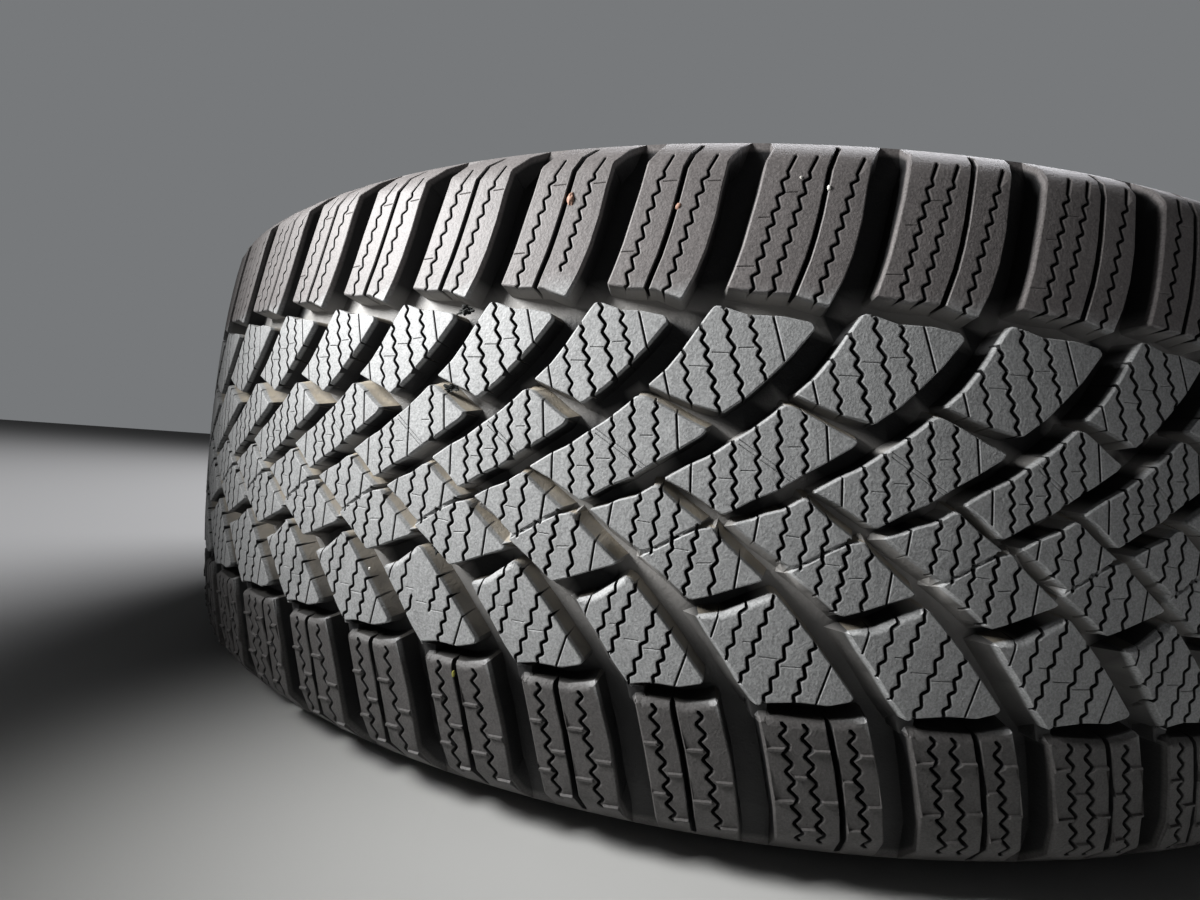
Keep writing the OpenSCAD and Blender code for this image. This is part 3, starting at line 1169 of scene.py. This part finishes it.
@dataclass
class Casing:
    """Shoulders, sidewalls, beads and inner liner as one revolved sheet.

    Args:
        size: the tyre's main sizes.
        run: the flat run, for the tread's edges.
        blend: width over which the tread's grey turns to the sidewall's.
        liner: height within which lie the beads and the liner.
        crease: angle past which its faces meet in a sharp edge.
    """

    size: TyreSize
    run: FlatRun
    blend: float = 14.0
    liner: float = 90.0
    crease: float = 60.0

    def half_profile(self) -> Array:
        """The upper half of the section, drawn for a half width of 101 and scaled to this one.

        Returns:
            Rows of (radius, height) from the tread's edge round the bead to the crown's inside.
        """
        size = self.size
        r, b, w = size.radius, size.bead_radius, size.half_width
        start = float(size.crown(size.edge))
        return np.array([
            # Shoulder, with a step under the tread's edge.
            [start, size.edge], [start - 2.2, 95.3], [start - 5.5, 96.4], [start - 6.4, 96.5],
            [start - 7.2, 97.2], [r - 26.0, 98.0], [r - 32.0, 99.2],
            # Sidewall, between two raised ribs.
            [r - 38.0, 99.9], [r - 38.8, 100.5], [r - 40.4, 100.5], [r - 41.2, 100.2], [r - 47.0, 100.6],
            [r - 53.0, 100.7], [r - 59.0, 100.5], [r - 65.0, 100.0], [r - 65.8, 100.5], [r - 67.2, 100.4],
            [r - 68.0, 99.6], [r - 74.0, 98.2], [b + 34, 96.8],
            # Rim protector and the flank of the bead.
            [b + 30, 96.0], [b + 28.4, 97.6], [b + 26.5, 98.3], [b + 23.5, 97.9], [b + 21.5, 95.6],
            [b + 19, 92.2], [b + 13, 89.6], [b + 7.5, 88.2], [b + 4.0, 87.0], [b + 1.3, 84.8],
            # Bead seat and toe.
            [b + 0.2, 82.0], [b + 0.1, 76.0], [b + 0.15, 70.2], [b + 0.6, 68.0], [b + 2.4, 66.4],
            # Inner liner, up the sidewall and over to the middle of the crown.
            [b + 6, 66.8], [b + 12, 69.5], [b + 20, 74.0], [b + 28, 80.0], [b + 38, 88.0], [b + 50, 92.6],
            [b + 58, 93.9], [b + 66, 93.8], [b + 76, 91.0], [b + 84, 86.0], [b + 91, 78.5],
            [b + 95.0, 70.0], [b + 97.0, 58.0], [b + 98.4, 40.0], [b + 99.0, 20.0], [b + 99.2, 0.0],
        ]) * [1.0, w / 101.0]

    def surface(self) -> Surface:
        """Revolves the profile from one row of the tread's edge to the other.

        Each point of the profile has an angle of its own in every column, a
        straight blend of the two rows' angles, so both rows meet the tread.

        Returns:
            The surface of the casing.
        """
        half = self.half_profile()
        low = half[:-1][::-1] * [1.0, -1.0]
        line = np.vstack([half, low])
        _, top, bottom = self.run.outline()
        share = np.linspace(0, 1, len(line))
        s_top, s_low = (
            np.concatenate([row[:-1, 0] + i * self.run.length for i in range(self.size.repeats)])
            for row in (top, bottom))
        angle = (s_top[None] * (1 - share[:, None]) + s_low[None] * share[:, None]) / self.size.radius
        radial = outward(angle)
        verts = radial * line[:, 0, None, None] + UP * (line[:, 1, None, None] + self.size.half_width)
        step = np.gradient(line, axis=0)
        step /= np.linalg.norm(step, axis=1)[:, None]
        edge_slope = float(self.size.crown_slope(np.array(self.size.edge)))
        start = np.array([1.0, -edge_slope]) / np.hypot(1, edge_slope)
        out = np.column_stack([step[:, 1], -step[:, 0]])
        out[0] = start
        out[-1] = start * [1, -1]
        normal = radial * out[:, 0, None, None] + UP * out[:, 1, None, None]
        rows, cols = angle.shape
        i, j = np.meshgrid(np.arange(rows - 1), np.arange(cols), indexing="ij")
        k = (j + 1) % cols
        corners = [i * cols + j, (i + 1) * cols + j, (i + 1) * cols + k, i * cols + k]
        faces = np.stack(corners, -1).reshape(-1, 4)
        # The beads and the liner are as dark as the sidewall, however far out they lie.
        within = np.abs(line[:, 1]) <= self.liner
        away = np.clip((self.size.crown(self.size.edge) - line[:, 0]) / self.blend, 0, 1)
        none = np.zeros(rows)
        # Past the tread's edge the shoulders keep their colours, the lower one painted shade and the upper
        # one partly painted shade, until the sidewall's colour takes over.
        shares = {
            "side": np.where(within, 1.0, away), "upper": (line[:, 1] > 0) * 1.0,
            "lower": (line[:, 1] < 0) * 1.0, "depth": none, "open": none, "slit": none,
        }
        values = {key: np.repeat(row, cols) for key, row in shares.items()}
        bare = {"dust": np.zeros(len(faces))}
        verts, normal = verts.reshape(-1, 3) * MM, normal.reshape(-1, 3)
        return Surface("casing", verts, faces, normal, values, bare, self.crease)


# --------------------------------------------------------------------------
# Finishes
# --------------------------------------------------------------------------
def linear(hex_colour: str) -> tuple[float, float, float, float]:
    """Turns an sRGB hex colour into linear values with full alpha.

    Args:
        hex_colour: the colour as "#rrggbb".

    Returns:
        Linear red, green and blue, and 1.
    """
    raw = np.array([int(hex_colour[i:i + 2], 16) for i in (1, 3, 5)]) / 255
    lin = np.where(raw <= 0.04045, raw / 12.92, ((raw + 0.055) / 1.055) ** 2.4)
    return (*[float(v) for v in lin], 1.0)


@dataclass
class NodeSheet:
    """The node tree of a material or world, with one way to add nodes to it."""

    owner: bpy.types.Material | bpy.types.World

    @classmethod
    def emptied(cls, owner: bpy.types.Material | bpy.types.World) -> NodeSheet:
        """Turns a new material's or world's nodes on and empties its tree.

        Args:
            owner: the material or world.

        Returns:
            Its sheet.
        """
        owner.use_nodes = True
        owner.node_tree.nodes.clear()
        return cls(owner)

    def add(self, kind: str, settings: dict | None = None, **inputs: object) -> bpy.types.Node:
        """Adds a node, sets its properties and fills or links its inputs.

        Args:
            kind: Blender's node type.
            settings: properties to set before the inputs.
            inputs: values or output sockets by input name, spaces as underscores,
                or by "in" and the input's number.

        Returns:
            The new node.
        """
        node = self.owner.node_tree.nodes.new(kind)
        for key, value in (settings or {}).items():
            setattr(node, key, value)
        for key, value in inputs.items():
            numbered = key.startswith("in") and key[2:].isdigit()
            socket = node.inputs[int(key[2:]) if numbered else key.replace("_", " ")]
            if isinstance(value, bpy.types.NodeSocket):
                self.owner.node_tree.links.new(value, socket)
            else:
                socket.default_value = value
        return node


@dataclass(frozen=True)
class RubberFinish:
    """Weathered tyre rubber.

    Moulded carbon-black rubber that years of road and storage have turned
    matt grey on the worn block tops, dusted pale brown where dirt could settle.
    Grooves and slits in shadow are painted near black as painted shade, and
    the floors of the grooves that the light runs along are painted a paler
    grey as painted light.  The lower shoulder is painted darker as painted
    shade; the upper one is browner, partly its own tone and partly painted
    shade from the tyre stacked above it.  The sidewall stays darker.

    Args:
        worn: block tops.
        scuffed: darker clouds on them.
        painted_shade: near black, as painted shade for grooves and slits that lie in shadow.
        lit_floor: a paler grey, as painted light on the floors of the grooves that the light runs along.
        dust: dirt caked on their walls.
        upper: shoulder blocks above, browner, partly their own tone and partly painted shade from the tyre
            stacked above.
        lower: shoulder blocks below, darker as painted shade where less light reaches them.
        wall: sidewalls, beads and liner.
        roughness: how matt it all is.
    """

    worn: str = "#8e8f8f"
    scuffed: str = "#757676"
    # Painted shade: near black for grooves and slits in shadow.
    painted_shade: str = "#141415"
    # Painted light: a paler grey on the floors of grooves that the light runs along.
    lit_floor: str = "#8a8885"
    dust: str = "#9a9181"
    # Upper shoulder: its own browner tone, darkened as painted shade.
    upper: str = "#686463"
    # Lower shoulder: darker as painted shade.
    lower: str = "#4b4948"
    wall: str = "#454342"
    roughness: float = 0.6

    def make(self) -> bpy.types.Material:
        """Builds the rubber from the piece's own values and patterns in real sizes.

        Returns:
            The material.
        """
        material = bpy.data.materials.new("weathered_rubber")
        sheet = NodeSheet.emptied(material)
        place = sheet.add("ShaderNodeTexCoord").outputs["Object"]
        value = {key: sheet.add("ShaderNodeAttribute", {"attribute_name": key}).outputs["Fac"]
                 for key in ("depth", "slit", "dust", "open", "upper", "lower", "side")}
        # Size in millimetres and layers of detail of the clouds of wear, the blotches, the grit
        # marks and the grain.  The grain is coarser than on real rubber, so that it shows.
        patterns = {"cloud": (40.0, 4.0), "blotch": (6.0, 3.0), "grit": (1.6, 2.0), "grain": (0.62, 2.0)}
        noise = {
            key: sheet.add("ShaderNodeTexNoise", Vector=place, Scale=1 / (span * MM), Detail=detail,
                           Roughness=0.6).outputs["Fac"]
            for key, (span, detail) in patterns.items()}
        # What each share or tone is made from, then its range in and its range out.
        ranges = {
            "patch": (noise["cloud"], 0.62, 0.78, 0.0, 1.0),
            "uneven": (noise["blotch"], 0.3, 0.7, 0.92, 1.08),
            "speckle": (noise["grain"], 0.3, 0.7, 0.72, 1.28),
            "settled": (noise["blotch"], 0.35, 0.6, 0.45, 0.95),
            "sunk": (value["depth"], 0.16, 0.28, 0.0, 1.0),
            "sliced": (value["slit"], 0.72, 0.96, 0.0, 1.0),
        }
        share = {
            key: sheet.add("ShaderNodeMapRange", Value=source, From_Min=a, From_Max=b,
                           To_Min=c, To_Max=d).outputs["Result"]
            for key, (source, a, b, c, d) in ranges.items()}
        # Block tops: worn grey with scuffed clouds; then the upper shoulder's browner tone with painted
        # shade, the lower shoulder's painted shade and the sidewall's own darker rubber.
        top = linear(self.worn)
        for fac, shade in ((share["patch"], self.scuffed), (value["upper"], self.upper),
                           (value["lower"], self.lower), (value["side"], self.wall)):
            top = sheet.add("ShaderNodeMixRGB", Fac=fac, Color1=top, Color2=linear(shade)).outputs["Color"]
        for key in ("uneven", "speckle"):
            top = sheet.add("ShaderNodeMixRGB", {"blend_type": "MULTIPLY"}, Fac=1.0, Color1=top,
                            Color2=share[key]).outputs["Color"]
        # Groove colour: painted shade, near black, in the grooves in shadow, and painted light, a paler
        # grey, on the floors of those the light runs along.
        low = sheet.add("ShaderNodeMixRGB", Fac=value["open"], Color1=linear(self.painted_shade),
                        Color2=linear(self.lit_floor)).outputs["Color"]
        caked = sheet.add("ShaderNodeMath", {"operation": "MULTIPLY"}, in0=value["dust"],
                          in1=share["settled"])
        low = sheet.add("ShaderNodeMixRGB", Fac=caked.outputs["Value"], Color1=low,
                        Color2=linear(self.dust)).outputs["Color"]
        # Everything deeper than one to two millimetres takes the groove colour: painted shade, except where
        # painted light or dust lies.
        colour = sheet.add("ShaderNodeMixRGB", Fac=share["sunk"], Color1=top, Color2=low).outputs["Color"]
        # Painted shade: deep slits in the block tops are painted near black.
        colour = sheet.add("ShaderNodeMixRGB", Fac=share["sliced"], Color1=colour,
                           Color2=linear(self.painted_shade)).outputs["Color"]
        # Strength, then height in millimetres: the grain stands out most, then the grit marks.
        bump = None
        for key, strength, height in (("grain", 0.42, 0.25), ("grit", 0.18, 0.6), ("blotch", 0.05, 2.0)):
            under = {"Normal": bump} if bump else {}
            bump = sheet.add("ShaderNodeBump", Strength=strength, Distance=height * MM,
                             Height=noise[key], **under).outputs["Normal"]
        shader = sheet.add("ShaderNodeBsdfPrincipled", Base_Color=colour, Roughness=self.roughness,
                           Normal=bump)
        sheet.add("ShaderNodeOutputMaterial", Surface=shader.outputs["BSDF"])
        return material


@dataclass(frozen=True)
class PlainFinish:
    """A plain matt finish for stones, lint and other finds in the tread.

    Broken stone, dry fibre and moss scatter the light, so nothing on them shines.

    Args:
        name: the material's name.
        colour: sRGB hex value.
        roughness: how matt it is.
        speck: size of the darker and lighter mineral specks in millimetres.
    """

    name: str
    colour: str
    roughness: float = 0.8
    speck: float = 1.1111

    def make(self) -> bpy.types.Material:
        """Builds the finish: one colour, slightly uneven.

        Returns:
            The material.
        """
        material = bpy.data.materials.new(self.name)
        sheet = NodeSheet.emptied(material)
        place = sheet.add("ShaderNodeTexCoord").outputs["Object"]
        specks = sheet.add("ShaderNodeTexNoise", Vector=place, Scale=1 / (self.speck * MM), Detail=2.0)
        tone = sheet.add("ShaderNodeMapRange", Value=specks.outputs["Fac"], From_Min=0.3, From_Max=0.7,
                         To_Min=0.75, To_Max=1.15)
        mixed = sheet.add("ShaderNodeMixRGB", {"blend_type": "MULTIPLY"}, Fac=1.0,
                          Color1=linear(self.colour), Color2=tone.outputs["Result"])
        shader = sheet.add("ShaderNodeBsdfPrincipled", Base_Color=mixed.outputs["Color"],
                           Roughness=self.roughness)
        sheet.add("ShaderNodeOutputMaterial", Surface=shader.outputs["BSDF"])
        return material


# --------------------------------------------------------------------------
# Finds in the tread
# --------------------------------------------------------------------------
@dataclass
class Lump:
    """A small stone, crumb or tuft pressed into the tread.

    Args:
        name: the piece's name.
        along: distance along the tyre from its front.
        height: height above the mid-plane.
        lift: distance of its middle above the worn surface.
        span: its three half-sizes, along, up and outwards.
        seed: start of its random waves.
        rough: how far its surface goes in and out, as a share of its size.
        waves: how closely the ins and outs follow each other.
        rows: rings of points between its two poles.
        cols: points in each ring.
    """

    name: str
    along: float
    height: float
    lift: float
    span: Triple
    seed: int
    rough: float = 0.18
    waves: float = 2.2
    rows: int = 13
    cols: int = 20

    def surface(self, size: TyreSize) -> Surface:
        """A ball whose radius is pushed in and out by a few random waves.

        Args:
            size: the tyre's main sizes, to place it on the crown.

        Returns:
            The closed surface, with its faces pointing outwards.
        """
        rng = np.random.default_rng(self.seed)
        rows, cols = self.rows, self.cols
        tilt = np.linspace(0, np.pi, rows + 2)[1:-1]
        turn = np.arange(cols) * 2 * np.pi / cols
        a, b = np.meshgrid(tilt, turn, indexing="ij")
        ball = np.stack([np.sin(a) * np.cos(b), np.sin(a) * np.sin(b), np.cos(a)], -1).reshape(-1, 3)
        ball = np.vstack([UP, ball, -UP])
        wave = rng.normal(size=(5, 3)) * self.waves
        swell = 1 + self.rough * np.sin(ball @ wave.T + rng.uniform(0, 6, 5)).mean(axis=1) * 2
        local = ball * swell[:, None] * np.array(self.span)
        angle = self.along / size.radius
        out, side = outward(angle), sideways(angle)
        centre = out * (float(size.crown(np.array(self.height))) + self.lift)
        centre[2] = self.height + size.half_width
        verts = centre + local[:, 0:1] * side + local[:, 1:2] * UP + local[:, 2:3] * out
        i, j = np.meshgrid(np.arange(rows - 1), np.arange(cols), indexing="ij")
        k = (j + 1) % cols
        here, right = 1 + i * cols + j, 1 + i * cols + k
        below = here + cols
        quads = [np.stack([here, below, right], -1), np.stack([right, below, right + cols], -1)]
        ring = np.arange(cols)
        nxt = (ring + 1) % cols
        end = 1 + (rows - 1) * cols
        caps = [np.column_stack([np.zeros(cols, int), 1 + ring, 1 + nxt]),
                np.column_stack([np.full(cols, len(ball) - 1), end + nxt, end + ring])]
        faces = np.vstack([q.reshape(-1, 3) for q in quads] + caps)
        middle = verts.mean(axis=0)
        a, b, c = (verts[faces[:, n]] for n in range(3))
        turned = np.sum(np.cross(b - a, c - a) * ((a + b + c) / 3 - middle), axis=1) < 0
        faces[turned] = faces[turned][:, ::-1]
        normal = verts - middle
        normal /= np.linalg.norm(normal, axis=1)[:, None]
        return Surface(self.name, verts * MM, faces, normal, {})


def finds() -> list[tuple[Lump, PlainFinish]]:
    """The stones, crumbs and tufts that lie in the tread.

    Returns:
        Each lump with its finish.
    """
    stone = PlainFinish("pinkish_stone", "#a5816f")
    chalk = PlainFinish("pale_grit", "#d8d6cf")
    tuft = PlainFinish("dark_lint", "#171a17")
    moss = PlainFinish("yellow_green_moss", "#8d8a3c")
    return [
        (Lump("stone_1", -41.2, 73.6, -0.3, (1.0, 1.9, 1.0), 3), stone),
        (Lump("stone_2", -11.3, 71.0, -0.4, (0.8, 1.0, 0.7), 5), stone),
        (Lump("grit_1", 26.2, 77.0, 0.0, (0.5, 0.7, 0.4), 7), chalk),
        (Lump("grit_2", 19.2, 79.4, 0.0, (0.4, 0.4, 0.3), 8), chalk),
        (Lump("grit_3", -96.0, -34.0, -0.2, (0.4, 0.5, 0.3), 9), chalk),
        (Lump("lint_1", -71.0, 43.4, -2.6, (1.9, 1.0, 0.8), 11, 0.9, 5.0), tuft),
        (Lump("lint_2", -73.0, 20.6, -2.2, (1.8, 0.9, 0.7), 13, 0.9, 5.0), tuft),
        (Lump("lint_3", -72.0, -23.4, -1.2, (1.6, 2.4, 0.8), 17, 0.9, 5.0), tuft),
        (Lump("moss_1", -63.6, -58.5, -0.2, (0.5, 0.9, 0.5), 19), moss),
    ]


# --------------------------------------------------------------------------
# Studio
# --------------------------------------------------------------------------
@dataclass
class Studio:
    """Floor, lights, world and camera.

    Args:
        size: the tyre's main sizes.
        turns: yaw, pitch and roll of the camera in degrees.
        back_off: distance of the camera from the tyre's axis in millimetres.
        raised: height of the camera above the mid-plane in millimetres.
        lens: focal length for a sensor 36 mm wide.
    """

    size: TyreSize
    turns: Triple = (-9.676, 0.833, 4.921)
    back_off: float = 465.43
    raised: float = 4.38
    lens: float = 17.94

    def floor(self) -> bpy.types.Object:
        """A plain pale floor under the tyre.

        Returns:
            The floor's object.
        """
        material = bpy.data.materials.new("plain_floor")
        material.use_nodes = True
        shader = material.node_tree.nodes["Principled BSDF"]
        shader.inputs["Base Color"].default_value = linear("#b4b4b2")
        shader.inputs["Roughness"].default_value = 0.9
        bpy.ops.mesh.primitive_plane_add(size=12.0, location=(0, 0, 0))
        floor = bpy.context.object
        floor.name = "floor"
        floor.data.materials.append(material)
        return floor

    def light(self, name: str, place: Triple, aim: Triple, width: float, power: float,
              colour: str, spread: float = 180.0) -> None:
        """Adds a square area light that looks at a point.

        Args:
            name: the lamp's name.
            place: where it stands, in metres.
            aim: the point that it looks at.
            width: length of its side.
            power: in watts.
            colour: sRGB hex value.
            spread: angle of its beam in degrees.
        """
        data = bpy.data.lights.new(name, "AREA")
        data.size = width
        data.energy = power
        data.color = linear(colour)[:3]
        data.spread = np.radians(spread)
        lamp = bpy.data.objects.new(name, data)
        lamp.location = place
        lamp.rotation_euler = (Vector(aim) - Vector(place)).to_track_quat("-Z", "Y").to_euler()
        bpy.context.collection.objects.link(lamp)

    def world(self, colour: str, strength: float, seen: str) -> None:
        """Sets a plain world light and a plain backdrop.

        Args:
            colour: sRGB hex value of the light.
            strength: strength of the light.
            seen: sRGB hex value that the camera sees behind the tyre.
        """
        world = bpy.data.worlds.new("room")
        sheet = NodeSheet.emptied(world)
        path = sheet.add("ShaderNodeLightPath")
        light = sheet.add("ShaderNodeBackground", Color=linear(colour), Strength=strength)
        view = sheet.add("ShaderNodeBackground", Color=linear(seen), Strength=1.0)
        both = sheet.add("ShaderNodeMixShader", Fac=path.outputs["Is Camera Ray"],
                         in1=light.outputs["Background"], in2=view.outputs["Background"])
        sheet.add("ShaderNodeOutputWorld", Surface=both.outputs["Shader"])
        bpy.context.scene.world = world

    def camera(self) -> None:
        """Close wide-angle camera in front of the tread, a little rolled."""
        yaw, pitch, roll = np.radians(self.turns)
        ahead = np.array([np.sin(yaw) * np.cos(pitch), np.cos(yaw) * np.cos(pitch), np.sin(pitch)])
        side = np.array([np.cos(yaw), -np.sin(yaw), 0.0])
        up = np.cross(side, ahead)
        right = np.cos(roll) * side + np.sin(roll) * up
        top = -np.sin(roll) * side + np.cos(roll) * up
        data = bpy.data.cameras.new("camera")
        data.sensor_width = 36.0
        data.lens = self.lens
        data.clip_start = 0.005
        camera = bpy.data.objects.new("camera", data)
        place = np.array([0.0, -self.back_off, self.size.half_width + self.raised]) * MM
        camera.matrix_world = Matrix([*np.column_stack([right, top, -ahead, place]), (0, 0, 0, 1)])
        bpy.context.collection.objects.link(camera)
        bpy.context.scene.camera = camera

    def build(self) -> None:
        """Makes everything that is not part of the tyre."""
        self.floor()
        mid = self.size.half_width * MM
        # A near lamp grazes the tread from the upper left; a wide one lights the back.
        near, spot = (-0.33, -0.43, mid + 0.20), (-0.04, -0.313, mid + 0.035)
        self.light("key", near, spot, 0.12, 0.55, "#ffffff", 60.0)
        self.light("back", (0.5, 1.4, mid + 1.3), (0, 0, mid), 1.8, 85.0, "#fafaff")
        self.world("#e8eaee", 0.05, "#77797b")


def main() -> None:
    """Builds the tyre, its finish and the studio, in that order."""
    logging.basicConfig(level=logging.INFO, format="%(message)s")
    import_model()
    size = TyreSize.from_box(*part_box("tyre"))
    rubber = RubberFinish().make()
    run = FlatRun(size)
    LOG.info("run: %d points, %d triangles", len(run.points), len(run.faces))
    surfaces = [*Tread(size, run).surfaces(), Casing(size, run).surface()]
    for surface in surfaces:
        piece = surface.build(rubber)
        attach(piece, "root")
        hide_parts("tyre")
        LOG.info("%s: %d faces", piece.name, len(surface.faces))
    for lump, finish in finds():
        piece = lump.surface(size).build(bpy.data.materials.get(finish.name) or finish.make())
        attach(piece, "root")
        LOG.info("%s: one lump", piece.name)
    studio = Studio(size)
    studio.build()
    studio.camera()
    bpy.context.scene.view_settings.view_transform = "Standard"


if __name__ == "__main__":
    main()
